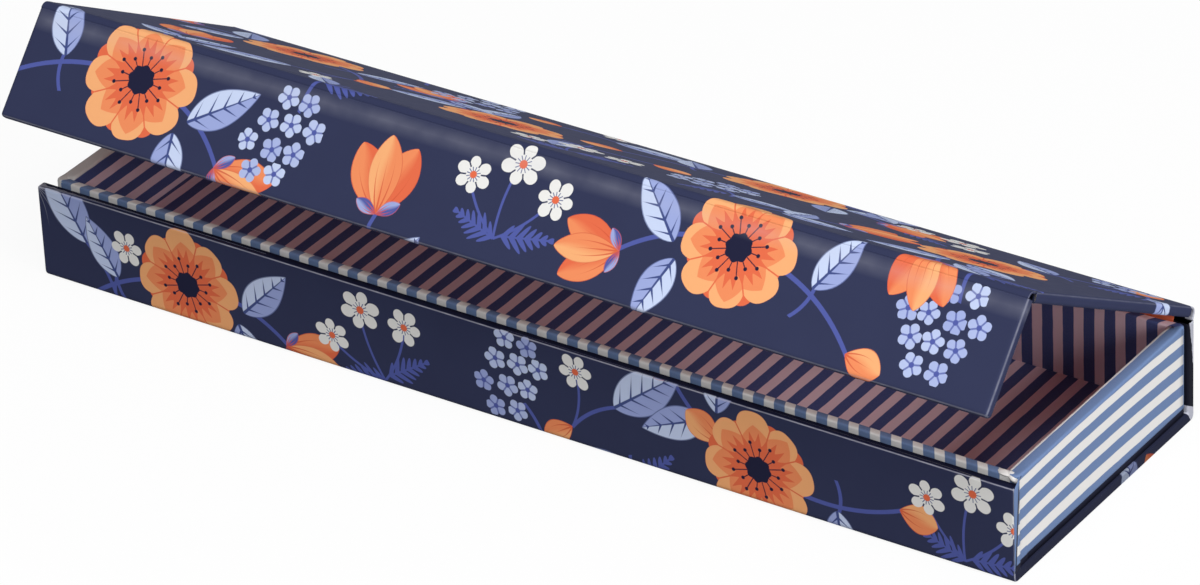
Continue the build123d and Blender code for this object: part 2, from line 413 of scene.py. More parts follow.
def floret_group():
    """Small flower of parted petals with a dot in the middle and a ring of short threads."""
    net, wires, sink = new_group("print_floret", FLOWER_INPUTS + "dot_colour")
    distance, angle = polar(net, wires)
    radius = wires.radius
    petals = wires.petals
    between = petal_share(net, angle, petals)
    wobble = net.math("SINE", angle * 2.0 + wires.turn * 7.0) * 0.06
    rim = (1.0 - wires.notch * between ** 2.2 + wobble) * radius
    gap = (1.0 - between) * distance * math.pi / petals
    half_parting, half_thread = 0.16, 0.09
    joined = net.below(distance, radius * 0.42)
    mask = net.inside(rim - distance) * net.larger(net.inside(gap - half_parting), joined)
    threads = net.off_line(angle * petals * 2.0 / TAU) * distance * math.pi / petals
    line = net.inside(half_thread - threads) * net.below(distance, radius * 0.4)
    petal = net.mix(line, wires.petal_colour, wires.line_colour)
    dot = net.inside(radius * 0.19 - distance)
    net.fill(sink, {"colour": net.mix(dot, petal, wires.dot_colour), "mask": mask})
    return net.tree


def leaf_shape(net, wires, lean, blunt):
    """A leaf whose half width is a sine of its length: lean moves its widest place, blunt rounds its ends.

    Gives distance along and beside its line, share of its length, half width there, and mask.
    """
    forward, beside = along_run(net, wires)
    share = net.larger(net.smaller(forward / wires.length, 1.0), 0.0)
    half_width = net.math("SINE", share ** lean * math.pi) ** blunt * wires.width * 0.5
    mask = net.inside(half_width - abs(beside)) * net.between(forward, wires.length)
    return forward, beside, share, half_width, mask


def leaf_group():
    """Two-toned leaf whose midrib and slanting veins thin out to nothing."""
    net, wires, sink = new_group("print_leaf", RUN_INPUTS + "veins light_colour dark_colour line_colour")
    half_rib, border_width = 0.34, 0.2
    forward, beside, share, half_width, mask = leaf_shape(net, wires, 0.8, 0.85)
    side = abs(beside)
    leaf = net.mix(net.inside(beside), wires.dark_colour, wires.light_colour)
    off_vein = net.off_line((forward - side * 0.9) / wires.length * wires.veins) * wires.length / wires.veins
    vein = net.inside((1.0 - side / net.larger(half_width, 0.05) * 1.2) * half_rib - off_vein)
    midrib = net.inside(half_rib - share * 0.3 - side)
    border = net.inside(side - half_width + border_width) * 0.75
    lines = net.larger(net.larger(vein, midrib), border)
    net.fill(sink, {"colour": net.mix(lines, leaf, wires.line_colour), "mask": mask})
    return net.tree


def petal_group():
    """Single petal or bud: a leaf with a blunt tip, a soft change of tone and streaks from its foot."""
    net, wires, sink = new_group("print_petal", RUN_INPUTS + "light_colour dark_colour")
    border_width = 0.16
    _, beside, share, half_width, mask = leaf_shape(net, wires, 1.15, 0.7)
    aside = beside / net.larger(half_width, 0.05)
    colour = net.mix(net.ramp(aside + share * 0.8, 1.6, -0.3), wires.dark_colour, wires.light_colour)
    off_streak = net.off_line(aside * 2.0, 8.5) * half_width * 0.5
    streak = net.inside((0.62 - share) * 0.35 - off_streak) * 0.8
    border = net.inside(abs(beside) - half_width + border_width) * 0.6
    net.fill(sink, {"colour": net.mix(net.larger(streak, border), colour, DEEP_CORAL), "mask": mask})
    return net.tree


def stem_group():
    """Stem along a parabola: bow is how far its middle stands beside the straight line."""
    net, wires, sink = new_group("print_stem", RUN_INPUTS + "bow", "mask")
    forward, beside = along_run(net, wires)
    share = forward / wires.length
    line = share * (1.0 - share) * wires.bow * 4.0
    depth = wires.width * 0.5 - abs(beside - line)
    net.fill(sink, {"mask": net.inside(depth) * net.between(share, 1.0)})
    return net.tree


def sprig_group():
    """Fern sprig: leaflets that slant forward, each as long as the frond is wide there."""
    net, wires, sink = new_group("print_sprig", RUN_INPUTS + "leaflets", "mask")
    forward, beside = along_run(net, wires)
    side = abs(beside)
    pitch = wires.length / wires.leaflets
    rung = (forward - side * 0.8) / pitch
    row = net.math("FLOOR", rung) + 0.5
    root_share = row / wires.leaflets
    reach = wires.width * 0.5 * (1.1 - root_share) * net.ramp(root_share, 3.0, 0.45)
    taper = side / reach
    half_leaflet = pitch * 0.4 * net.root(net.larger(1.0 - taper * taper, 0.0))
    off = abs(rung - row) * pitch
    leaflet = net.inside(half_leaflet - off) * net.below(taper, 1.0) * net.between(root_share, 1.0)
    half_stem = 0.22
    stem = net.inside(half_stem - side) * net.between(forward, wires.length)
    net.fill(sink, {"mask": net.larger(leaflet, stem)})
    return net.tree


def cluster_group():
    """Round cluster of small five-petalled florets on a staggered grid, each moved and turned at random."""
    inputs = PLACE_INPUTS + "radius pitch light_colour shade_colour line_colour"
    net, wires, sink = new_group("print_cluster", inputs)
    pitch = wires.pitch
    across = (wires.across - wires.centre_across) / pitch
    along = (wires.along - wires.centre_along) / pitch
    row = net.math("FLOOR", along)
    shift = net.fraction(row * 0.5) + 0.25
    column = net.math("FLOOR", across + shift)
    cell = net.node("ShaderNodeCombineXYZ", column + wires.centre_across, row, wires.centre_along)
    random = net.node("ShaderNodeTexWhiteNoise", noise_dimensions="3D")
    net.put(random.inputs["Vector"], cell.outputs[0])
    parts = net.node("ShaderNodeSeparateColor", random.outputs["Color"])
    chance = [Wire(net, parts.outputs[k]) for k in range(3)]
    floret_across = column + 0.5 - shift + (chance[0] - 0.5) * 0.2
    floret_along = row + 0.5 + (chance[1] - 0.5) * 0.2
    off_across = across - floret_across
    off_along = along - floret_along
    off = net.hypot(off_across, off_along)
    present = net.below(net.hypot(floret_across, floret_along) * pitch, wires.radius)
    angle = net.math("ARCTAN2", off_along, off_across) + chance[2] * TAU
    between = petal_share(net, angle, 5.0)
    rim = (0.46 + chance[0] * 0.05) * (1.0 - between ** 2.0 * 0.34)
    mask = net.inside((rim - off) * pitch) * present
    floret = net.mix(chance[1], wires.shade_colour, wires.light_colour)
    parting = net.inside((0.035 - (1.0 - between) * off * 0.63) * pitch) * 0.8
    dot = net.inside((0.11 - off) * pitch)
    net.fill(sink, {"colour": net.mix(net.larger(parting, dot), floret, wires.line_colour), "mask": mask})
    return net.tree


GROUPS = {
    "blossom": blossom_group(),
    "floret": floret_group(),
    "leaf": leaf_group(),
    "petal": petal_group(),
    "stem": stem_group(),
    "sprig": sprig_group(),
    "cluster": cluster_group(),
}

# Motifs of a higher layer lie over those of a lower one
LAYERS = {"stem": 1, "sprig": 2, "leaf": 3, "petal": 4, "cluster": 4, "blossom": 5, "floret": 6}


class Spray:
    """Motifs placed together on the sheet: a position, a turn and a mirroring for all of them."""

    def __init__(self, across, along, degrees=0.0, mirror=1, size=1.0):
        self.across = across
        self.along = along
        self.angle = math.radians(degrees)
        self.mirror = mirror
        self.size = size
        self.motifs = []

    def place(self, x, y):
        """A point of the spray on the sheet."""
        x = x * self.mirror * self.size
        y = y * self.size
        cosine, sine = math.cos(self.angle), math.sin(self.angle)
        return self.across + x * cosine - y * sine, self.along + x * sine + y * cosine

    def heading(self, degrees):
        """A direction of the spray on the sheet, in radians."""
        angle = math.radians(degrees)
        if self.mirror < 0:
            angle = math.pi - angle
        return angle + self.angle

    def add(self, kind, x, y, reach, middle=None, **values):
        """One motif; middle and reach bound it, for leaving out what a panel doesn't show."""
        wobble = 0.05 * math.sin(7.0 * len(self.motifs) + self.across)
        across, along = self.place(x, y)
        values.update(centre_across=across + wobble, centre_along=along - wobble)
        self.motifs.append((kind, middle or (across, along), reach * self.size + 0.5, values))

    def run(self, kind, x, y, degrees, length, half_width, **values):
        """A motif that starts at a point and runs in a direction."""
        angle = self.heading(degrees)
        across, along = self.place(x, y)
        half = length * self.size / 2
        middle = (across + half * math.cos(angle), along + half * math.sin(angle))
        values.update(cosine=math.cos(angle), sine=math.sin(angle), length=length * self.size)
        self.add(kind, x, y, math.hypot(length / 2, half_width), middle, **values)

    def blossom(self, x, y, radius, petals=8, notch=0.22, turn_by=0.3):
        """A large flower."""
        self.add("blossom", x, y, radius, turn=turn_by, radius=radius * self.size, petals=petals, notch=notch,
                 heart_colour=CORAL, petal_colour=PEACH, rim_colour=CREAM_PEACH, line_colour=INK)

    def floret(self, x, y, radius, petals=6, notch=0.42, turn_by=0.2):
        """A small white flower."""
        self.add("floret", x, y, radius, turn=turn_by, radius=radius * self.size, petals=petals, notch=notch,
                 petal_colour=WHITE_PETAL, line_colour=VEIN_BLUE, dot_colour=CORAL)

    def leaf(self, x, y, degrees, length, width, veins=5.0):
        """A veined leaf."""
        self.run("leaf", x, y, degrees, length, width / 2, width=width * self.size, veins=veins,
                 light_colour=PALE_BLUE, dark_colour=LILAC, line_colour=VEIN_BLUE)

    def petal(self, x, y, degrees, length, width, light=CREAM_PEACH, dark=PEACH):
        """One plain petal or bud."""
        self.run("petal", x, y, degrees, length, width / 2, width=width * self.size,
                 light_colour=light, dark_colour=dark)

    def stem(self, x, y, degrees, length, bow, width=0.8):
        """A stem."""
        self.run("stem", x, y, degrees, length, abs(bow) + 1, bow=bow * self.size * self.mirror, width=width)

    def sprig(self, x, y, degrees, length, width, leaflets=7.0):
        """A fern sprig."""
        self.run("sprig", x, y, degrees, length, width / 2, width=width * self.size, leaflets=leaflets)

    def cluster(self, x, y, radius, pitch=5.2):
        """A cluster of small florets."""
        self.add("cluster", x, y, radius + pitch, radius=radius * self.size, pitch=pitch * self.size,
                 light_colour=PALE_BLUE, shade_colour=LILAC, line_colour=MID_BLUE)

    def tulip(self, x, y, degrees, length=15.0, width=7.0):
        """A half-open flower of three petals."""
        for splay in (-24, 24):
            self.petal(x, y, degrees + splay, length * 0.95, width, PEACH, CORAL)
        self.petal(x, y, degrees, length, width * 0.9)
        for splay in (62, -62):
            self.petal(x, y, degrees + splay, length * 0.35, width * 0.35, LILAC, MID_BLUE)


def dahlia_spray(*placing):
    """A large flower on a branch with two leaves, a bud and a half-open flower."""
    spray = Spray(*placing)
    spray.stem(0, 0, 197, 34, bow=-3.5, width=0.95)
    spray.stem(0, 0, -24, 27, bow=3.0, width=0.95)
    spray.stem(-17, -8, 105, 9, bow=1.0)
    spray.leaf(-19, -1, 112, 15, 7.5)
    spray.leaf(12, -7.5, -78, 15, 7.5)
    spray.leaf(14, -4.5, 38, 17, 8)
    spray.petal(-32, -9.7, 185, 9, 7)
    spray.tulip(24, -11, -18)
    spray.blossom(0, 0, 13)
    return spray


def daisy_spray(*placing):
    """Three small white flowers on thin stems, with fern sprigs."""
    spray = Spray(*placing)
    spray.stem(0, -9, 96, 16, bow=1.0, width=0.55)
    spray.stem(0, -9, 55, 15, bow=-1.0, width=0.55)
    spray.stem(0, -9, 140, 15, bow=1.0, width=0.55)
    spray.sprig(0, -9, 170, 11, 7)
    spray.sprig(1, -8, 18, 12, 7)
    spray.floret(-1.5, 6.5, 4.6)
    spray.floret(8.5, 3, 4.1, turn_by=0.6)
    spray.floret(-10.5, 0.5, 3.9, turn_by=0.9)
    return spray


def cluster_spray(*placing):
    """A cluster of small florets with a stem, a sprig and a leaf."""
    spray = Spray(*placing)
    spray.stem(0, -4, 268, 14, bow=1.5)
    spray.sprig(0, -12, 205, 12, 7)
    spray.leaf(0.5, -13, -30, 14, 6.5)
    spray.cluster(0, 2, 9.4)
    return spray


def tulip_spray(*placing):
    """A half-open flower with its stem and two leaves."""
    spray = Spray(*placing)
    spray.stem(0, 0, 262, 20, bow=-2.0, width=0.9)
    spray.leaf(-1, -12, 128, 14, 6.5)
    spray.leaf(-1, -14, 40, 15, 7)
    spray.tulip(0, 0, 84, 16, 8)
    return spray


def leaf_spray(*placing):
    """A large leaf beside a small flower and a bud."""
    spray = Spray(*placing)
    spray.stem(-12, -6, 28, 13, bow=1.0, width=0.8)
    spray.leaf(-1, 0, 30, 20, 9.5, veins=6.0)
    spray.stem(-12, -6, 75, 12, bow=-1.0, width=0.55)
    spray.floret(-9, 6.5, 3.9, turn_by=0.4)
    spray.petal(-12, -6, 205, 8, 5.5)
    return spray


# The layout on the flat sheet: millimetres from the case's middle, and up from the flap's free edge
LAYOUT = [
    dahlia_spray(-86, 15, -4),
    cluster_spray(-50, 14, 160),
    tulip_spray(-24, 3, 14),
    daisy_spray(4, 14, -8),
    dahlia_spray(54, 17, -8, -1, 0.95),
    cluster_spray(101, 15, 170),
    tulip_spray(-92, 44, 30),
    leaf_spray(-66, 42, 190, 1),
    dahlia_spray(-22, 55, 170, 1),
    daisy_spray(4, 42, 15),
    cluster_spray(30, 52, 40),
    tulip_spray(62, 47, -30),
    dahlia_spray(88, 56, 75, -1),
    dahlia_spray(-84, 76, -20, -1),
    cluster_spray(-46, 82, 10),
    leaf_spray(-12, 84, -25),
    dahlia_spray(28, 84, 12),
    daisy_spray(66, 78, -35),
    cluster_spray(104, 92, 30),
    daisy_spray(-106, 104, 20),
    tulip_spray(-66, 108, 20),
    dahlia_spray(-26, 112, -160, 1),
    leaf_spray(14, 108, 5),
    cluster_spray(46, 106, -15),
    dahlia_spray(84, 116, 200, -1),
    dahlia_spray(-88, 140, 30, 1),
    cluster_spray(-48, 138, 0),
    tulip_spray(-20, 146, 15),
    daisy_spray(12, 136, -15),
    dahlia_spray(46, 146, 165, 1),
    leaf_spray(84, 142, 50, -1),
    cluster_spray(104, 158, 20),
    leaf_spray(-60, 166, 200),
    cluster_spray(-102, 172, 15),
    dahlia_spray(-30, 172, -15, 1, 0.95),
    daisy_spray(8, 168, 10),
    cluster_spray(34, 172, 200),
    dahlia_spray(72, 174, 150, -1),
    leaf_spray(-104, 199, -30, -1),
    dahlia_spray(-78, 196, 8, 1, 0.95),
    daisy_spray(-32, 197, 14),
    cluster_spray(2, 197, 24),
    leaf_spray(26, 199, 8),
    dahlia_spray(58, 195, 165, 1, 0.95),
    daisy_spray(106, 198, -12),
]


def reaches(motif, left, right, low, high):
    """Whether a motif's bounding circle meets a rectangle of the sheet."""
    _, (across, along), reach, _ = motif
    away_across = max(left - across, 0, across - right)
    away_along = max(low - along, 0, along - high)
    return math.hypot(away_across, away_along) < reach


def print_colour(net, place, rectangle):
    """The print's colour at a place of the sheet, from the motifs that reach into this rectangle of it."""
    across, along = net.split(place)
    colour = net.mix(net.noise(place, 0.09, 3.0), NAVY, NAVY_SHADE)
    shown = [motif for spray in LAYOUT for motif in spray.motifs if reaches(motif, *rectangle)]
    for kind, _, _, values in sorted(shown, key=lambda motif: LAYERS[motif[0]]):
        made = net.use(GROUPS[kind], across=across, along=along, **values)
        over = made.outputs["colour"] if "colour" in made.outputs else MID_BLUE
        colour = net.mix(made.outputs["mask"], colour, over)
    return colour


def paper_grain_group():
    """Fibres and faint dents of coated paper, as a height and as a small change of roughness."""
    net, wires, sink = new_group("paper_grain", "place fibre", "height mottle")
    fibres = net.noise(wires.place, 2.6, 4.0, 0.65)
    strands = net.noise(net.stretch(wires.place, (0.35, 2.4, 1.0)), 1.1, 3.0, 0.6)
    dents = net.noise(wires.place, 0.06, 2.0)
    height = fibres * wires.fibre + strands * wires.fibre * 0.7 + dents * 0.5
    net.fill(sink, {"height": height, "mottle": net.noise(wires.place, 0.35, 4.0, 0.6)})
    return net.tree


PAPER_GRAIN = paper_grain_group()


def new_material(name):
    """A material with a Principled BSDF, its net and that shader."""
    material = bpy.data.materials.new(name)
    material.use_nodes = True
    material.node_tree.nodes.clear()
    net = Net(material.node_tree)
    shader = net.node("ShaderNodeBsdfPrincipled")
    net.node("ShaderNodeOutputMaterial", shader.outputs[0])
    return material, net, shader


def finish_paper(net, shader, place, colour, fibre, bump, rough, gloss):
    """Grain, roughness and bump shared by the papers; bump is its height in millimetres."""
    grain = net.use(PAPER_GRAIN, place=place, fibre=fibre)
    relief = net.node("ShaderNodeBump")
    net.fill(relief, {"Strength": 1.0, "Distance": bump * METRE, "Height": grain.outputs["height"]})
    spread = 0.16
    roughness = net.math("MULTIPLY_ADD", grain.outputs["mottle"], spread, rough - spread / 2)
    net.fill(shader, {"Base Color": colour, "Roughness": roughness, "Specular IOR Level": gloss,
                      "Normal": relief.outputs[0]})


def painted_edge_highlight(net, place, share):
    """Painted highlight: a thin pale line along the middle of an edge's rounding, a little uneven."""
    line = net.ramp(net.kept("edge"), 3.0, -1.9)
    return line * net.ramp(net.noise(place, 0.3, 3.0), 1.1, 0.12) * share


def fan_creases(net, across, along):
    """Fine creases that fan out from the front's top left corner: rays, thin and fading with distance."""
    rays = 5.0
    half_crease = 0.09
    aside = across + HALF_LENGTH
    below = SHEET_END - along
    distance = net.hypot(aside, below)
    angle = net.math("ARCTAN2", below, aside) + net.math("SINE", distance * 0.5) * 0.05
    off = net.off_line(angle * rays / (math.pi / 2), 4.5) * (math.pi / 2) / rays * distance
    return net.inside(half_crease - off) * net.ramp(distance, -0.12, 1.1)


# Painted highlights at the spine's right end: a wedge's length down from the top and its width there, how
# much wider it is above the spine, and the height of the highlighted foot
WEDGE_LENGTH = 9.5
WEDGE_WIDTH = 1.3
HIGHLIGHT_ABOVE = 1.2
FOOT_HIGHLIGHT = 3.4


def spine_end_highlights(net, place, across, along):
    """Painted highlights on the spine's bulging right end, drawn pale: a wedge that narrows downwards, and
    its foot.
    """
    down = along - HINGE_END
    ragged = (net.noise(place, 0.5, 3.0) - 0.5) * 1.6
    above = net.below(down, 0.0)
    wedge = (1.0 - down / WEDGE_LENGTH) * WEDGE_WIDTH
    top = net.smaller(across - HALF_LENGTH + above * HIGHLIGHT_ABOVE + 0.4, wedge - across + HALF_LENGTH + 0.3)
    foot = net.smaller(down - SPINE_LENGTH + FOOT_HIGHLIGHT, across - HALF_LENGTH + 0.1)
    return net.inside(net.larger(top, foot) + ragged * 0.5)


# Painted highlight on the edges, painted shade on the ends, and how near the fold a panel gets its painted
# sheen
FLAP_HIGHLIGHT, LID_HIGHLIGHT, CASE_HIGHLIGHT = 0.35, 0.15, 0.9
SPINE_SHADE, BASE_SHADE = 0.9, 0.6
FOLD_SHEEN_WIDTH = 8.0


def printed_paper(name, left, right, low, high):
    """Cover paper with the print of one rectangle of the sheet, its pale creases, and painted shade,
    highlights and sheen there.
    """
    material, net, shader = new_material(name)
    place = net.kept("sheet", "Vector")
    colour = print_colour(net, place, (left, right, low, high))
    across, along = net.split(place)
    highlight_share = FLAP_HIGHLIGHT if high <= LID_START else LID_HIGHLIGHT
    if low >= LID_END:
        shade = SPINE_SHADE if low < BASE_START else BASE_SHADE
        on_end = net.inside(abs(across) - HALF_LENGTH - 0.15)
        colour = net.mix(on_end * shade, colour, END_SHADE)
    # Painted highlights on the spine's right end, drawn as pale patches
    if LID_END <= low < BASE_START and right > HALF_LENGTH:
        colour = net.mix(spine_end_highlights(net, place, across, along) * 0.85, colour, PALE_WEAR_AND_HIGHLIGHT)
    if low >= BASE_START:
        highlight_share = CASE_HIGHLIGHT
        # Painted shade: the front's top face, under the lid, darkened towards black blue
        colour = net.mix(net.inside(along - SHEET_END - 0.1) * 0.8, colour, BLACK_BLUE)
        if left < -HALF_LENGTH:
            colour = net.mix(fan_creases(net, across, along) * 0.45, colour, PALE_WEAR_AND_HIGHLIGHT)
    # Painted sheen: a soft pale band just below the fold between lid and flap
    if low < FLAP_END < high + FOLD_SHEEN_WIDTH:
        fold_sheen = net.ramp(abs(along - FLAP_END + 2.2), -0.4, 1.0)
        colour = net.mix(fold_sheen * net.noise(place, 0.15, 2.0) * 0.22, colour, PALE_WEAR_AND_HIGHLIGHT)
    # Painted highlight along the rounded edges
    colour = net.mix(painted_edge_highlight(net, place, highlight_share), colour, PALE_WEAR_AND_HIGHLIGHT)
    finish_paper(net, shader, place, colour, fibre=0.5, bump=0.012, rough=0.64, gloss=0.03)
    return material


# The sheet is shaded in columns, each with only the motifs that it needs, so that renders stay quick
COLUMNS = (-HALF_LENGTH - 20, -58.0, 0.0, 58.0, HALF_LENGTH + 20)
COLUMN_MARGIN = 4.0


def printed_columns(name, low, high):
    """Cover paper's materials for one panel, from left to right."""
    return [printed_paper(f"{name}_{k + 1}", left - COLUMN_MARGIN, right + COLUMN_MARGIN, low, high)
            for k, (left, right) in enumerate(zip(COLUMNS, COLUMNS[1:]))]


STRIPE_PERIOD = 4.75
STRIPE_WHITE_SHARE = 0.475


def striped_paper(name):
    """Tray paper: blue and off-white stripes across the sheet; inside the tray painted shade darkens the blue
    and a painted reflection of the lid's lining turns the white pink.
    """
    material, net, shader = new_material(name)
    place = net.kept("sheet", "Vector")
    waver = (net.noise(place, 0.18, 3.0) - 0.5) * 0.3
    off_white = net.off_line((net.split(place)[0] + waver) / STRIPE_PERIOD, 100.0)
    inside = net.kept("inside")
    # Painted shade and a painted reflection of the lining inside the tray
    blue = net.mix(inside, STRIPE_BLUE, SHADED_INSIDE_BLUE)
    white = net.mix(inside, STRIPE_WHITE, REFLECTED_INSIDE_WHITE)
    colour = net.mix(net.inside((STRIPE_WHITE_SHARE / 2 - off_white) * STRIPE_PERIOD), blue, white)
    speck = net.ramp(net.noise(place, 3.0, 3.0, 0.7), 0.5, -0.2)
    colour = net.mix(speck * 0.35, colour, SPECK)
    # Painted shade from the edge share: the wall's dark foot, the lap's seam line and the folds' undersides
    colour = net.mix(net.kept("edge"), colour, BLACK_BLUE)
    finish_paper(net, shader, place, colour, fibre=0.7, bump=0.015, rough=0.6, gloss=0.08)
    return material


def object_place(net):
    """Object coordinates in millimetres."""
    return net.stretch(net.node("ShaderNodeTexCoord").outputs["Object"], (1 / METRE, 1 / METRE, 1 / METRE))


def plain_paper(name, base, shade, rough=0.62):
    """Uncoated plain paper."""
    material, net, shader = new_material(name)
    place = object_place(net)
    colour = net.mix(net.noise(place, 0.8, 4.0, 0.65), base, shade)
    finish_paper(net, shader, place, colour, fibre=0.8, bump=0.02, rough=rough, gloss=0.25)
    return material


def greyboard():
    """Raw grey board: recycled fibre with dark and pale flecks."""
    material, net, shader = new_material("greyboard")
    place = object_place(net)
    colour = net.mix(net.noise(place, 0.6, 5.0, 0.7), GREYBOARD, GREYBOARD_SHADE)
    fleck = net.above(net.noise(place, 2.2, 2.0), 0.68)
    colour = net.mix(fleck * 0.6, colour, FLECK)
    finish_paper(net, shader, place, colour, fibre=1.2, bump=0.05, rough=0.85, gloss=0.2)
    return material


def nickel():
    """Nickel plate on the closing magnets."""
    material, net, shader = new_material("nickel_plate")
    place = object_place(net)
    colour = net.mix(net.noise(place, 0.5, 3.0), NICKEL, NICKEL_SHADE)
    roughness = net.math("MULTIPLY_ADD", net.noise(place, 1.5, 3.0), 0.2, 0.2)
    net.fill(shader, {"Base Color": colour, "Metallic": 1.0, "Roughness": roughness})
    return material


def outward(points, faces):
    """Faces in an order that makes the closed mesh's volume positive."""
    triangles = [(face[0], face[k], face[k + 1]) for face in faces for k in range(1, len(face) - 1)]
    volume = np.linalg.det(points[np.array(triangles)] - points.mean(axis=0)).sum()
    return faces if volume > 0 else [face[::-1] for face in faces]


def grid_faces(index):
    """Four-sided faces between the neighbouring rows and columns of a grid of point numbers."""
    corners = [index[:-1, :-1], index[:-1, 1:], index[1:, 1:], index[1:, :-1]]
    return np.stack(corners, axis=-1).reshape(-1, 4).tolist()


def closed_rows(index):
    """A grid of point numbers whose rows end where they start."""
    return np.concatenate([index, index[:, :1]], axis=1)


def keep_values(mesh, name, values, domain="POINT"):
    """Keep a number or a place for each point or corner of a mesh."""
    values = np.asarray(values, np.float32)
    kind, field = ("FLOAT_VECTOR", "vector") if values.ndim == 2 else ("FLOAT", "value")
    mesh.attributes.new(name, kind, domain).data.foreach_set(field, values.ravel())


def add_piece(name, points, faces, across, along, edge, materials, both_ways=True):
    """A mesh object in metres with the sheet's place on its corners and the edge share on its points.

    Four materials are four columns; more are as many bands of four, in the order of the bands' ends.
    Where across counts both ways from x = 0, it is negative on the left.
    """
    mesh = bpy.data.meshes.new(name)
    mesh.from_pydata((points * METRE).tolist(), [], outward(points, faces))
    corner_points = np.zeros(len(mesh.loops), int)
    mesh.loops.foreach_get("vertex_index", corner_points)
    counts = np.zeros(len(mesh.polygons), int)
    mesh.polygons.foreach_get("loop_total", counts)
    face_of_corner = np.repeat(np.arange(len(counts)), counts)
    face_x = np.bincount(face_of_corner, points[corner_points, 0]) / counts
    side = np.where(both_ways & (face_x < 0), -1.0, 1.0)[face_of_corner]
    corner_along = along[corner_points]
    sheet = np.stack([across[corner_points] * side, corner_along, np.zeros(len(side))], axis=1)
    keep_values(mesh, "sheet", sheet, "CORNER")
    keep_values(mesh, "edge", edge)
    mesh.polygons.foreach_set("use_smooth", np.ones(len(counts), bool))
    bands, ends = materials
    for material in bands:
        mesh.materials.append(material)
    if len(bands) > 1:
        column = np.searchsorted(COLUMNS[1:-1], face_x)
        band = np.searchsorted(ends, np.bincount(face_of_corner, corner_along) / counts)
        mesh.polygons.foreach_set("material_index", (band * (len(COLUMNS) - 1) + column).astype(np.int32))
    mesh.update()
    piece = bpy.data.objects.new(name, mesh)
    bpy.context.scene.collection.objects.link(piece)
    return piece


def run_samples(low, high, count, support=0.4):
    """Places along a straight run, with one more close to each end, so that shading stays flat between."""
    inner = np.linspace(low + support, high - support, count)
    return np.concatenate([[low], inner, [high]])


def half_section(half_length, thickness, inset, rounding):
    """Half of a rounded rectangle, from the middle of one end over the outer face to the middle of the other.

    Gives x, the depth below the outer face, the distance from x = 0 along the surface, and the edge share.
    """
    corner = max(rounding - inset, 1e-4)
    reach = half_length - inset - corner
    turns = np.linspace(0, math.pi / 2, STEPS + 1)[1:]
    face_x = run_samples(-reach, reach, FACE_STEPS)
    end_depth = np.linspace(inset + corner, thickness / 2, 3)[1:]
    end_run = reach + corner * math.pi / 2 + end_depth - inset - corner
    face = [face_x, np.full(len(face_x), inset), np.abs(face_x), np.zeros(len(face_x))]
    rounded = [reach + corner * np.sin(turns), inset + corner * (1 - np.cos(turns)), reach + corner * turns,
               np.sin(2 * turns) ** 2]
    end = [np.full(2, reach + corner), end_depth, end_run, np.zeros(2)]
    right = np.concatenate([rounded, end], axis=1)
    left = right[:, ::-1] * np.array([[-1], [1], [1], [1]])
    return np.concatenate([left, face, right], axis=1)


def wrapped_board(name, material, outer, inner, along, move, rounding=EDGE_ROUND, half_length=HALF_LENGTH,
                  insets=None, edge_rows=None, trims=None):
    """A papered board as a closed surface: at each station of a path a rounded rectangle between two lines.

    outer and inner are (y, z) pairs of the two faces, insets draws the rectangle in towards a rounded tip,
    edge_rows is the edge share there, and trims cuts the right end back.
    """
    none = np.zeros(len(outer))
    insets, edge_rows, trims = (none if given is None else given for given in (insets, edge_rows, trims))
    mirrored = slice(-2, 0, -1)
    rows, runs, edges = [], [], []
    for face, back, inset, edge_row, trim in zip(outer, inner, insets, edge_rows, trims):
        thickness = math.hypot(*(back - face))
        direction = (back - face) / thickness
        x, depth, run, edge = half_section(half_length, thickness, inset, rounding)
        full_x = np.minimum(np.concatenate([x, x[mirrored]]), half_length - trim)
        full_depth = np.concatenate([depth, thickness - depth[mirrored]])
        edge = np.maximum(edge, edge_row)
        rows.append(np.column_stack([full_x, face + full_depth[:, None] * direction]))
        runs.append(np.concatenate([run, 2 * run[0] - run[mirrored]]))
        edges.append(np.concatenate([edge, edge[mirrored] * 0.5]))
    points = np.array(rows)
    count, size = points.shape[:2]
    faces = grid_faces(closed_rows(np.arange(count * size).reshape(count, size)))
    for start, order in ((0, -1), ((count - 1) * size, 1)):
        for k in range(size // 2):
            cap = [start + corner % size for corner in (k, k + 1, size - k - 1, size - k)]
            faces.append(list(dict.fromkeys(cap))[::order])
    return add_piece(name, move(points.reshape(-1, 3)), faces, np.ravel(runs), np.repeat(along, size),
                     np.ravel(edges), material)


def path_length(points):
    """Running length of a polyline."""
    steps = np.hypot(*np.diff(points, axis=0).T)
    return np.concatenate([[0.0], np.cumsum(steps)])


def straight(start, end, count):
    """Points along a straight line, with one more close to each end."""
    start, end = np.array(start, float), np.array(end, float)
    length = math.hypot(*(end - start))
    shares = run_samples(0.0, length, count) / length
    return start + shares[:, None] * (end - start)


def arc(centre, radius, start_degrees, end_degrees):
    """Points along an arc in the YZ section."""
    angles = np.radians(np.linspace(start_degrees, end_degrees, STEPS + 1))
    return np.array(centre) + radius * np.stack([np.cos(angles), np.sin(angles)], axis=1)


def bezier(controls, steps=14):
    """Points along a Bezier curve: the sum of its controls, weighted by Bernstein's polynomials."""
    controls = np.array(controls, float)
    share = np.linspace(0, 1, steps + 1)[:, None]
    degree = len(controls) - 1
    total = np.zeros((steps + 1, 2))
    for k, control in enumerate(controls):
        total += math.comb(degree, k) * share ** k * (1 - share) ** (degree - k) * control
    return total


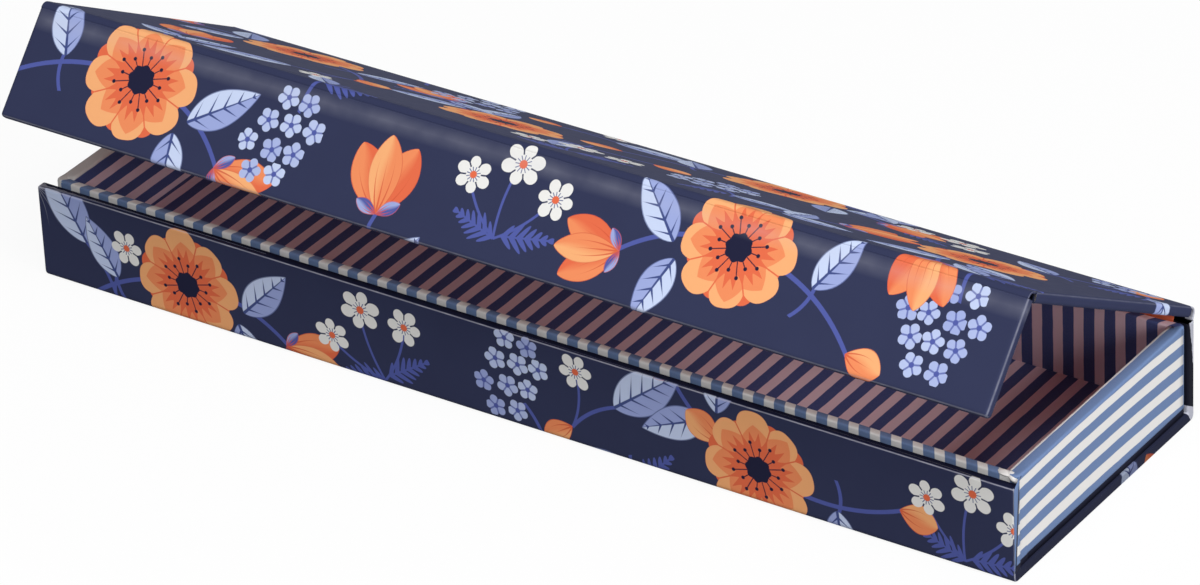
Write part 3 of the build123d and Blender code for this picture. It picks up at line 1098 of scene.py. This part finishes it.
def with_tip(outer, inner, along, direction, rounding, sense):
    """A board's path run on over a rounded tip, as the named values that wrapped_board takes.

    sense is 1 where the sheet's along grows towards the tip and -1 where it falls.
    """
    angles = np.radians(np.linspace(0, TIP_DEGREES, TIP_STEPS + 1))[1:]
    ahead = rounding * np.sin(angles)[:, None] * np.array(direction, float)
    before = np.zeros(len(outer))
    return {
        "outer": np.concatenate([outer, outer[-1] + ahead]),
        "inner": np.concatenate([inner, inner[-1] + ahead]),
        "along": np.concatenate([along, along[-1] + sense * rounding * angles]),
        "insets": np.concatenate([before, rounding * (1 - np.cos(angles))]),
        "edge_rows": np.concatenate([before, np.sin(2 * angles) ** 2]),
        "rounding": rounding,
    }


def section(move, y, z):
    """A point of the closed section as (y, z) in the stored pose."""
    return move(np.array([0.0, y, z]))[1:]


# Thickness of the paper across the two folds, and how far the hinge's is bowed outwards
FOLD_PAPER = 0.45
HINGE_PAPER = 0.5
HINGE_BULGE = 0.8


def fold_paths():
    """Outer and inner line of the paper round the fold between lid and flap, in the stored pose."""
    lines = []
    for depth in (0.0, FOLD_PAPER):
        lid_end = section(open_lid, LID_FRONT, LID_TOP - depth)
        flap_end = section(open_flap, FLAP_FACE + depth, FLAP_TOP)
        along_lid = section(open_lid, LID_FRONT - 1, LID_TOP - depth) - lid_end
        along_flap = section(open_flap, FLAP_FACE + depth, FLAP_TOP + 1) - flap_end
        share = np.linalg.solve(np.array([along_lid, -along_flap]).T, flap_end - lid_end)[0]
        corner = lid_end + share * along_lid
        start = corner - along_lid * (1.5 - depth * 0.8)
        lines.append(np.concatenate([[lid_end], bezier([start, corner, flap_end])]))
    return lines


def hinge_paths():
    """Outer and inner line of the paper between spine and lid, bowed outwards, in the stored pose."""
    lines = []
    for depth in (0.0, HINGE_PAPER):
        spine_end = np.array([BACK_Y - depth, SPINE_TOP])
        rising = np.array([BACK_Y + HINGE_BULGE - depth, (SPINE_TOP + LID_TOP) / 2])
        crown = section(open_lid, BACK_Y + HINGE_BULGE / 2, LID_TOP - depth)
        lid_end = section(open_lid, LID_BACK, LID_TOP - depth)
        lines.append(bezier([spine_end, rising, crown, lid_end]))
    return lines


# Where each panel starts on the flat sheet, counted from the flap's free edge
FOLD_OUTER, FOLD_INNER = fold_paths()
HINGE_OUTER, HINGE_INNER = hinge_paths()
FLAP_END = FLAP_TOP - FLAP_BOTTOM
LID_START = FLAP_END + path_length(FOLD_OUTER)[-1]
LID_END = LID_START + LID_BACK - LID_FRONT
HINGE_END = LID_END + path_length(HINGE_OUTER)[-1]
SPINE_LENGTH = SPINE_TOP - FOLD_ROUND + FOLD_ROUND * math.pi / 2
BASE_START = HINGE_END + SPINE_LENGTH
BASE_END = BASE_START + BACK_Y - FRONT_Y - 2 * FOLD_ROUND
SHEET_END = BASE_END + FOLD_ROUND * math.pi / 2 + FRONT_TOP - FOLD_ROUND


def case_line(offset, rounding):
    """A line down the spine, under the base and up the front, at a distance inside the outer face."""
    low = offset + rounding
    back, front = BACK_Y - offset, FRONT_Y + offset
    return np.concatenate([
        straight((back, SPINE_TOP), (back, low), HIGH_STEPS),
        arc((BACK_Y - low, low), rounding, 0, -90)[1:],
        straight((BACK_Y - low, offset), (FRONT_Y + low, offset), 20)[1:],
        arc((FRONT_Y + low, low), rounding, -90, -180)[1:],
        straight((front, low), (front, FRONT_TOP - EDGE_ROUND), HIGH_STEPS)[1:],
    ])


def case_cover(material):
    """Spine, base and front in one sheet, the front with a rounded top edge."""
    outer, inner = case_line(0.0, FOLD_ROUND), case_line(WALL, CREASE_ROUND)
    path = with_tip(outer, inner, HINGE_END + path_length(outer), (0, 1), EDGE_ROUND, 1)
    y, z = path["outer"].T
    trims = np.where((y < FRONT_Y + 0.01) & (z > WALL), LAP_DEPTH, 0.0)
    return wrapped_board("case_cover", material, move=stay, trims=trims, **path)


def lid_cover(material):
    """The lid's papered board."""
    outer, inner = (straight((LID_FRONT, z), (LID_BACK, z), DEEP_STEPS) for z in (LID_TOP, LID_TOP - WALL))
    return wrapped_board("lid_cover", material, outer, inner, LID_START + path_length(outer), open_lid,
                         rounding=LOOSE_ROUND)


def flap_cover(material):
    """The flap's papered board with its rounded free edge."""
    low = FLAP_BOTTOM + LOOSE_ROUND
    outer, inner = (straight((y, FLAP_TOP), (y, low), HIGH_STEPS) for y in (FLAP_FACE, FLAP_FACE + WALL))
    path = with_tip(outer, inner, FLAP_END - path_length(outer), (0, -1), LOOSE_ROUND, -1)
    return wrapped_board("flap_cover", material, move=open_flap, **path)


def fold_strip(name, material, outer, inner, sheet_end, rounding):
    """The sheet across a fold; sheet_end is where its path starts on the flat sheet, counting down."""
    along = sheet_end - path_length(outer)
    return wrapped_board(name, material, outer, inner, along, stay, rounding, HALF_LENGTH - 0.2)


def lining_strip(name, material, start, end, sag, thickness=0.15):
    """The lining across the inside of a hinge, slack by sag."""
    direction = end - start
    normal = np.array([-direction[1], direction[0]]) / math.hypot(*direction)
    outer = bezier([start, (start + end) / 2 + normal * sag, end], 8)
    return wrapped_board(name, material, outer, outer + normal * thickness, path_length(outer), stay,
                         rounding=0.07, half_length=LID_LINING_HIGH[0])


def tray_perimeter(inset, corner):
    """Points round the tray at a distance inside its outer face, counter-clockwise from the front left."""
    left, front = TRAY_LOW[:2] + inset
    right, back = TRAY_HIGH[:2] - inset
    return np.concatenate([
        straight((left + corner, front), (right - corner, front), LONG_STEPS),
        arc((right - corner, front + corner), corner, -90, 0)[1:-1],
        straight((right, front + corner), (right, back - corner), DEEP_STEPS),
        arc((right - corner, back - corner), corner, 0, 90)[1:-1],
        straight((right - corner, back), (left + corner, back), LONG_STEPS),
        arc((left + corner, back - corner), corner, 90, 180)[1:-1],
        straight((left, back - corner), (left, front + corner), DEEP_STEPS),
        arc((left + corner, front + corner), corner, 180, 270)[1:-1],
    ])


def wall_profile(width):
    """A wall's closed section: share of its width in from the outer face, height, and whether it's inside."""
    turns = np.radians(np.linspace(0, 90, STEPS + 1))
    rim = RIM_ROUND / width
    top = TRAY_HIGH[2] - RIM_ROUND
    foot = [TRAY_LOW[2], FOOT_TOP - 0.15, FOOT_TOP]
    outer = np.concatenate([foot, np.linspace(FOOT_TOP + 0.3, top - 0.3, 7), [top]])
    inner = run_samples(FLOOR_TOP - 0.1, top, 8, 0.3)[::-1][1:]
    rim_share = np.concatenate([rim * (1 - np.cos(turns[1:])), 1 - rim * (1 - np.sin(turns))])
    rim_height = top + RIM_ROUND * np.concatenate([np.sin(turns[1:]), np.cos(turns)])
    share = np.concatenate([np.zeros(len(outer)), rim_share, np.ones(len(inner))])
    height = np.concatenate([outer, rim_height, inner])
    within = np.arange(len(share)) >= len(share) - len(inner)
    return share, height, within


# The bulge of the tray paper's rim at each corner: height, place along the rim, and how fast it fades
# along the rim and down
BULGE_HEIGHT = 0.28
BULGE_PLACE = 1.2
BULGE_LENGTH = 1.3
BULGE_DEPTH = 1.6


def tray_sheet(material):
    """The striped sheet round the tray: out, over the rim and in, with a bulge at each folded corner."""
    outer = tray_perimeter(0.0, 0.8)
    inner = tray_perimeter(TRAY_WALL, 0.3)
    share, height, within = wall_profile(TRAY_WALL)
    count, ring = len(outer), len(share)
    points = np.zeros((count, ring, 3))
    points[..., :2] = outer[:, None, :] * (1 - share[:, None]) + inner[:, None, :] * share[:, None]
    points[..., 2] = height
    for x in (TRAY_LOW[0], TRAY_HIGH[0]):
        for y in (TRAY_LOW[1], TRAY_HIGH[1]):
            away = np.hypot(points[..., 0] - x, points[..., 1] - y)
            down = TRAY_HIGH[2] - points[..., 2]
            swell = np.exp(-((away - BULGE_PLACE) / BULGE_LENGTH) ** 2 - (down / BULGE_DEPTH) ** 2)
            points[..., 2] += BULGE_HEIGHT * swell * (down < RIM_ROUND + 0.3)
    index = closed_rows(np.arange(count * ring).reshape(count, ring))
    faces = grid_faces(np.concatenate([index, index[:1]]).T)
    # The outer foot of the wall takes painted shade, dark as the gap under it
    foot = np.tile((height < FOOT_TOP - 0.1) * (share < 0.5) * 1.0, count)
    tray = add_piece("tray_sheet", points.reshape(-1, 3), faces, np.repeat(outer[:, 0], ring),
                     np.tile(height, count), foot, material, both_ways=False)
    # The back rim lies under the lid and takes the inside's painted shade and pink painted reflection
    back_rim = (outer[:, 1] > TRAY_HIGH[1] - 0.5)[:, None] & (share > 0.05)
    keep_values(tray.data, "inside", (within | back_rim).ravel())
    return tray


def layered_sheet(name, top, under, across, along, edge, materials):
    """A thin closed sheet between two grids of points, its upper and its under side."""
    rows, columns = top.shape[:2]
    index = np.arange(rows * columns).reshape(rows, columns)
    below = rows * columns
    border = np.concatenate([index[0, :-1], index[:-1, -1], index[-1, :0:-1], index[:0:-1, 0]])
    following = np.roll(border, -1)
    sides = np.stack([following, border, border + below, following + below], axis=-1)
    faces = grid_faces(index) + [face[::-1] for face in grid_faces(index + below)] + sides.tolist()
    points = np.concatenate([top.reshape(-1, 3), under.reshape(-1, 3)])
    doubled = [np.tile(values.ravel(), 2) for values in (across, along, edge)]
    return add_piece(name, points, faces, *doubled, materials, both_ways=False)


# The end walls' doubled paper makes their rim wider; lengths from its outer side to the end of its one stripe
END_RIM = 2.8
RIGHT_RIM_RUN = 2.5
LEFT_RIM_RUN = 3.5

# The end walls' stripes: how many white ones below the rim, their period there, the middle height of the
# lowest white one, and how they sag on both sides of a crest
END_WHITES = 4
END_PERIOD = 4.573
LOWEST_WHITE = 7.26
END_SAG = 0.00085
END_CREST = -8.0


def end_stripe(run, y, rim_run):
    """Across the sheet at a height above an end wall's foot: level stripes that sag on both sides of a crest.

    Over the rim they widen and straighten, so that one blue stripe covers it and the next white one
    starts all along its inner edge.
    """
    rim_start = TRAY_HIGH[2] - RIM_ROUND - TRAY_LOW[2]
    closer = 0.3 * np.clip((run - rim_start) / 1.2 + 1, 0, 1)
    sag = closer + END_SAG * (y - END_CREST) ** 2
    over = np.clip((run - rim_start) / rim_run, 0, 1)
    past = np.maximum(run - rim_start - rim_run, 0)
    white_start = LOWEST_WHITE - TRAY_LOW[2] + (END_WHITES - STRIPE_WHITE_SHARE / 2) * END_PERIOD
    level = (np.minimum(run, rim_start) + sag) * (1 - over) + white_start * over + past
    stripe = (TRAY_LOW[2] - LOWEST_WHITE + level) / END_PERIOD + 0.5
    return np.maximum(stripe, 0.0) * STRIPE_PERIOD


def end_sheet(name, side, material):
    """The striped sheet over one short wall: up the outside, over the rim and down the inside, a thin layer.

    The stripes run level, because the sheet is folded up from the floor. It ends above the wall's dark foot.
    A blue stripe covers the right rim and a white one the left rim.
    """
    share, height, within = (values[2:] for values in wall_profile(END_RIM))
    columns = np.linspace(0, 1, 40)
    lift, sink = 0.1, 0.05
    outer_x = TRAY_HIGH[0] if side > 0 else -TRAY_LOW[0]
    x = outer_x - share * END_RIM
    above = np.clip((height - TRAY_HIGH[2] + RIM_ROUND) / RIM_ROUND, 0, 1)
    normal_x = np.where(share < 0.5, 1.0, -1.0) * np.sqrt(1 - above ** 2)
    below_sheet = FOOT_TOP - TRAY_LOW[2]
    run = below_sheet + path_length(np.stack([x, height], axis=1))
    end_y = np.array([TRAY_LOW[1] + 1.0, TRAY_HIGH[1] - 1.0])
    inner_y = np.array([TRAY_LOW[1] + TRAY_WALL + 0.1, TRAY_HIGH[1] - TRAY_WALL - 0.1])
    low_y, high_y = end_y[:, None] + (inner_y - end_y)[:, None] * share
    y = low_y[:, None] + (high_y - low_y)[:, None] * columns

    def layer(out):
        """The sheet's points at a distance outside the wall's surface."""
        points = np.zeros((*y.shape, 3))
        points[..., 0] = side * (x + normal_x * out)[:, None]
        points[..., 1] = y
        points[..., 2] = (height + above * out)[:, None]
        return points

    if side > 0:
        across = end_stripe(run[:, None], y, RIGHT_RIM_RUN)
    else:
        across = end_stripe(run[:, None], y, LEFT_RIM_RUN) + STRIPE_PERIOD / 2
    along = np.tile(columns * 60, (len(share), 1))
    sheet = layered_sheet(name, layer(lift), layer(-sink), across, along, np.zeros(y.shape), material)
    keep_values(sheet.data, "inside", np.tile(np.repeat(within, len(columns)), 2))
    return sheet


def corner_lap(material):
    """The end wall's paper carried forward over the front board's right end, to a slanting lap.

    Ahead of the lap's dark line, a painted shade in its seam, the paper is blue; its front edge is upright
    and rounds back at the top.
    """
    straight_top, round_height, round_depth = 19.9, 2.3, 2.4
    slant, lap_back, lift, thickness = 1.7, 3.3, 0.12, 0.08
    rise = np.sin(np.radians(np.linspace(0, 80, 12)))
    z = np.concatenate([[TRAY_LOW[2] + 0.05, FOOT_TOP - 0.15], np.linspace(FOOT_TOP, straight_top, 26)[:-1],
                        straight_top + 2.25 * rise])
    rounded = np.clip((z - straight_top) / round_height, 0, 1)
    front = FRONT_Y + 0.07 + round_depth * (1 - np.sqrt(1 - rounded ** 2))
    seam = front + 0.04 + slant * (z - TRAY_LOW[2]) / straight_top
    back = TRAY_LOW[1] + lap_back
    lap = front[:, None] + (seam - front)[:, None] * np.array([0.0, 0.45, 0.9])
    line = seam[:, None] + np.array([0.0, 0.4, 0.52])
    rest = line[:, 2:] + (back - line[:, 2:]) * np.linspace(0, 1, 9)[1:]
    y = np.concatenate([lap, line, rest], axis=1)
    ahead = np.clip((TRAY_LOW[1] + 0.5 - y) / 0.9, 0, 1)
    ease = ahead ** 2 * (3 - 2 * ahead)
    over = np.clip((z - TRAY_HIGH[2] + RIM_ROUND) / RIM_ROUND, 0, 1)
    curl = RIM_ROUND * (1 - np.sqrt(1 - over ** 2))[:, None]
    outer_x = TRAY_HIGH[0] + lift
    x = outer_x + (HALF_LENGTH - 0.03 - outer_x) * ease - curl
    x[:, -1] -= thickness
    top = np.stack([x, y, np.tile(z[:, None], (1, y.shape[1]))], axis=-1)
    under = top - np.array([thickness, 0.0, 0.0])
    across = end_stripe((z - TRAY_LOW[2])[:, None] + curl * 0.5, y, RIGHT_RIM_RUN)
    ahead_of_line, dark_line, dark_foot = slice(0, 4), slice(3, 5), slice(0, 2)
    across[:, ahead_of_line] = 0.0
    # Painted shade: a dark line in the lap's seam and a dark foot
    edge = np.zeros(y.shape)
    edge[:, dark_line] = 0.9
    edge[dark_foot, 3:] = 1.0
    return layered_sheet("tray_corner_lap", top, under, across, y, edge, material)


def corner_fold(name, material, centre, radii, degrees, lean):
    """A fold of white paper pressed over the rim at a corner: an ellipsoid, turned and leant to one side."""
    angles = np.meshgrid(np.linspace(-84, 84, 13), np.linspace(0, 345, 24), indexing="ij")
    latitude, longitude = np.radians(angles)
    ball = np.stack([np.cos(latitude) * np.cos(longitude), np.cos(latitude) * np.sin(longitude),
                     np.sin(latitude)], axis=-1).reshape(-1, 3) * np.array(radii)
    x, y, z = ball.T
    cosine, sine = math.cos(math.radians(degrees)), math.sin(math.radians(degrees))
    points = np.stack([x * cosine - y * sine, x * sine + y * cosine, z + x * lean], axis=1) + np.array(centre)
    index = np.arange(len(ball)).reshape(latitude.shape)
    faces = grid_faces(closed_rows(index)) + [index[0][::-1].tolist(), index[-1].tolist()]
    # Painted shade, darker towards each fold's underside
    edge = np.clip(-z / radii[2] * 2 + 0.2, 0, 0.7)
    across = np.full(len(points), STRIPE_PERIOD / 2)
    return add_piece(name, points, faces, across, points[:, 1], edge, material, both_ways=False)


def dress_nodes(stripes, lining):
    """Materials of the CAD nodes that stay as they are."""
    board = greyboard()
    tape = plain_paper("stay_tape", TAPE_BROWN, TAPE_SHADE, 0.8)
    plate = nickel()
    dresses = (
        (board, ("front_board", "base_board", "spine_board", "tray_floor_board", "tray_front_wall",
                 "tray_back_wall", "tray_left_wall", "tray_right_wall", "lid_board", "flap_board")),
        (lining, ("spine_lining", "lid_lining", "flap_lining")),
        (stripes, ("tray_floor_sheet",)),
        (tape, ("tray_corner_stays",)),
        (plate, ("front_magnets", "flap_magnets")),
    )
    for material, nodes in dresses:
        for node in nodes:
            mesh = frame["nodes"][node].data
            mesh.materials.clear()
            mesh.materials.append(material)
    floor = frame["nodes"]["tray_floor_sheet"].data
    keep_values(floor, "sheet", node_points("tray_floor_sheet"))
    keep_values(floor, "inside", np.ones(len(floor.vertices)))


def build_pieces():
    """Every new piece, with the covers and the tray's papers put on the body that they ride on."""
    stripes = striped_paper("striped_paper")
    striped = ([stripes], ())
    lining = plain_paper("lining_paper", LINING_CORAL, LINING_SHADE)
    lined = ([lining], ())
    case_bands = (
        printed_columns("spine_print", HINGE_END, BASE_START)
        + printed_columns("base_print", BASE_START, BASE_END)
        + printed_columns("front_print", BASE_END, SHEET_END + 1)
    )
    case = case_cover((case_bands, (BASE_START, BASE_END)))
    lid = lid_cover((printed_columns("lid_print", LID_START, LID_END), ()))
    flap = flap_cover((printed_columns("flap_print", -1.0, FLAP_END), ()))
    fold = fold_strip("flap_fold_paper", (printed_columns("fold_print", FLAP_END, LID_START), ()),
                      FOLD_OUTER, FOLD_INNER, LID_START, 0.2)
    hinge = fold_strip("lid_hinge_strip", (printed_columns("hinge_print", LID_END, HINGE_END), ()),
                       HINGE_OUTER, HINGE_INNER, HINGE_END, 0.24)
    tray = tray_sheet(striped)
    front, back, rim = TRAY_LOW[1] + 0.7, TRAY_HIGH[1] - 0.8, TRAY_HIGH[2] - 0.15
    right, left = TRAY_HIGH[0], TRAY_LOW[0]
    ends = [
        end_sheet("tray_end_sheet_left", -1, striped),
        end_sheet("tray_end_sheet_right", 1, striped),
        corner_lap(striped),
    ]
    for name, centre, radii, degrees, lean in (
        ("front_right", (right - 3.2, front, rim), (1.7, 0.9, 0.45), -8, 0.0),
        ("tip", (right - 1.3, front - 0.15, rim - 0.3), (1.5, 0.85, 0.7), -26, -0.3),
        ("front_left", (left + 1.6, front, rim), (1.2, 0.7, 0.32), 14, 0.0),
        ("back_right", (right - 1.4, back, rim), (1.0, 0.75, 0.34), 12, 0.0),
    ):
        ends.append(corner_fold("corner_fold_" + name, striped, centre, radii, degrees, lean))
    inner_back = np.array([BACK_Y - WALL, SPINE_TOP])
    lid_inner = section(open_lid, LID_BACK, LID_TOP - WALL)
    back_lining = lining_strip("lid_hinge_lining_strip", lined, inner_back, lid_inner, -0.2)
    lid_front_inner = section(open_lid, LID_FRONT, LID_LINING_HIGH[2])
    flap_inner = section(open_flap, FLAP_LINING_LOW[1], FLAP_LINING_HIGH[2])
    fold_lining = lining_strip("flap_fold_lining_strip", lined, lid_front_inner, flap_inner, 0.15)

    for piece in (case, tray, *ends):
        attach(piece, "case")
    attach(lid, "lid")
    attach(flap, "flap")
    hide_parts("case_cover_paper")
    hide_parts("tray_paper")
    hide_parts("lid_cover_paper")
    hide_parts("flap_cover_paper")
    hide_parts("flap_hinge_paper")
    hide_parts("lid_hinge_paper")
    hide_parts("lid_hinge_lining")
    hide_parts("flap_hinge_lining")

    def in_metres(point):
        return (0.0, point[0] * METRE, point[1] * METRE)

    in_metres(HINGE_OUTER[0])
    in_metres(HINGE_OUTER[-1])
    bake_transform(hinge)
    in_metres(inner_back)
    in_metres(lid_inner)
    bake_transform(back_lining)
    in_metres(FOLD_OUTER[1])
    in_metres(FOLD_OUTER[-1])
    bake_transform(fold)
    in_metres(lid_front_inner)
    in_metres(flap_inner)
    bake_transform(fold_lining)
    dress_nodes(stripes, lining)


def add_object(name, data):
    """An object in the scene."""
    made = bpy.data.objects.new(name, data)
    bpy.context.scene.collection.objects.link(made)
    return made


# The camera: place, turn and lens worked out from the photograph's corners, for a picture 1200 wide
CAMERA_PLACE = (0.67994, -0.97186, 0.71786)
CAMERA_TURN = (59.223, 2.335, 33.623)
FOCAL_PIXELS = 6946.9
PICTURE_WIDTH = 1200
SENSOR_WIDTH = 36.0


def add_camera():
    """The camera of the photograph."""
    data = bpy.data.cameras.new("camera")
    data.sensor_width = SENSOR_WIDTH
    data.lens = FOCAL_PIXELS * SENSOR_WIDTH / PICTURE_WIDTH
    data.clip_start = 0.05
    data.clip_end = 20
    camera = add_object("camera", data)
    camera.location = CAMERA_PLACE
    camera.rotation_euler = [math.radians(angle) for angle in CAMERA_TURN]
    bpy.context.scene.camera = camera


def add_lamp(name, place, size, power, target=(0.0, 0.0, 0.03)):
    """A square soft lamp that faces a point, by default the case's middle."""
    data = bpy.data.lights.new(name, "AREA")
    data.shape = "SQUARE"
    data.size = size
    data.energy = power
    lamp = add_object(name, data)
    lamp.location = place
    lamp.rotation_euler = (Vector(target) - Vector(place)).to_track_quat("-Z", "Y").to_euler()


def seen_plainly(net):
    """1 for rays that show the background as it is: to the camera, in gloss and through glass."""
    rays = net.node("ShaderNodeLightPath").outputs
    seen = net.larger(rays["Is Camera Ray"], rays["Is Glossy Ray"])
    return net.larger(seen, rays["Is Transmission Ray"])


# The floor, in metres: half a side, and how far it lies below the base; then its greys where light bounces
# off it and where it is seen, and how much of its own light it gives where it is seen
FLOOR_HALF = 6.0
FLOOR_DROP = 0.05 * METRE
FLOOR_BOUNCE = (0.25, 0.25, 0.25, 1)
FLOOR_SEEN = (0.85, 0.85, 0.85, 1)
FLOOR_GLOW = 0.92


def add_floor():
    """White floor that keeps a faint shadow, and is clear from below.

    It lies a hair below the base, so that the two don't share a plane.
    """
    mesh = bpy.data.meshes.new("floor")
    corners = [(x * FLOOR_HALF, y * FLOOR_HALF, -FLOOR_DROP) for x, y in ((-1, -1), (1, -1), (1, 1), (-1, 1))]
    mesh.from_pydata(corners, [], [(0, 1, 2, 3)])
    add_object("floor", mesh)
    material, net, shader = new_material("floor_white")
    surface = shader.outputs[0].links[0].to_socket
    seen = seen_plainly(net)
    net.fill(shader, {"Base Color": net.mix(seen, FLOOR_BOUNCE, FLOOR_SEEN), "Roughness": 0.9})
    glow = net.node("ShaderNodeEmission")
    glow.inputs["Strength"].default_value = 1.0
    white = net.blend(seen * FLOOR_GLOW, shader.outputs[0], glow.outputs[0])
    clear = net.node("ShaderNodeBsdfTransparent").outputs[0]
    backfacing = net.node("ShaderNodeNewGeometry").outputs["Backfacing"]
    net.put(surface, net.blend(backfacing, white, clear))
    mesh.materials.append(material)


def add_world():
    """World of a weak even light, full white where it is seen."""
    world = bpy.data.worlds.new("studio")
    bpy.context.scene.world = world
    world.use_nodes = True
    world.node_tree.nodes.clear()
    net = Net(world.node_tree)
    soft = net.node("ShaderNodeBackground", (0.95, 0.97, 1.0, 1), 0.2)
    white = net.node("ShaderNodeBackground")
    white.inputs["Strength"].default_value = 1.0
    net.node("ShaderNodeOutputWorld", net.blend(seen_plainly(net), soft.outputs[0], white.outputs[0]))


build_pieces()
add_camera()
add_floor()
add_world()
# Key from high in front, one from high on the right for the end, and a weak one from low in front
add_lamp("key", (0.35, -0.55, 1.4), 0.7, 16)
add_lamp("right", (1.305, -0.29, 0.51), 0.6, 12.8)
add_lamp("front", (0.3, -1.35, 0.95), 0.5, 3)
bpy.context.scene.view_settings.view_transform = "Standard"
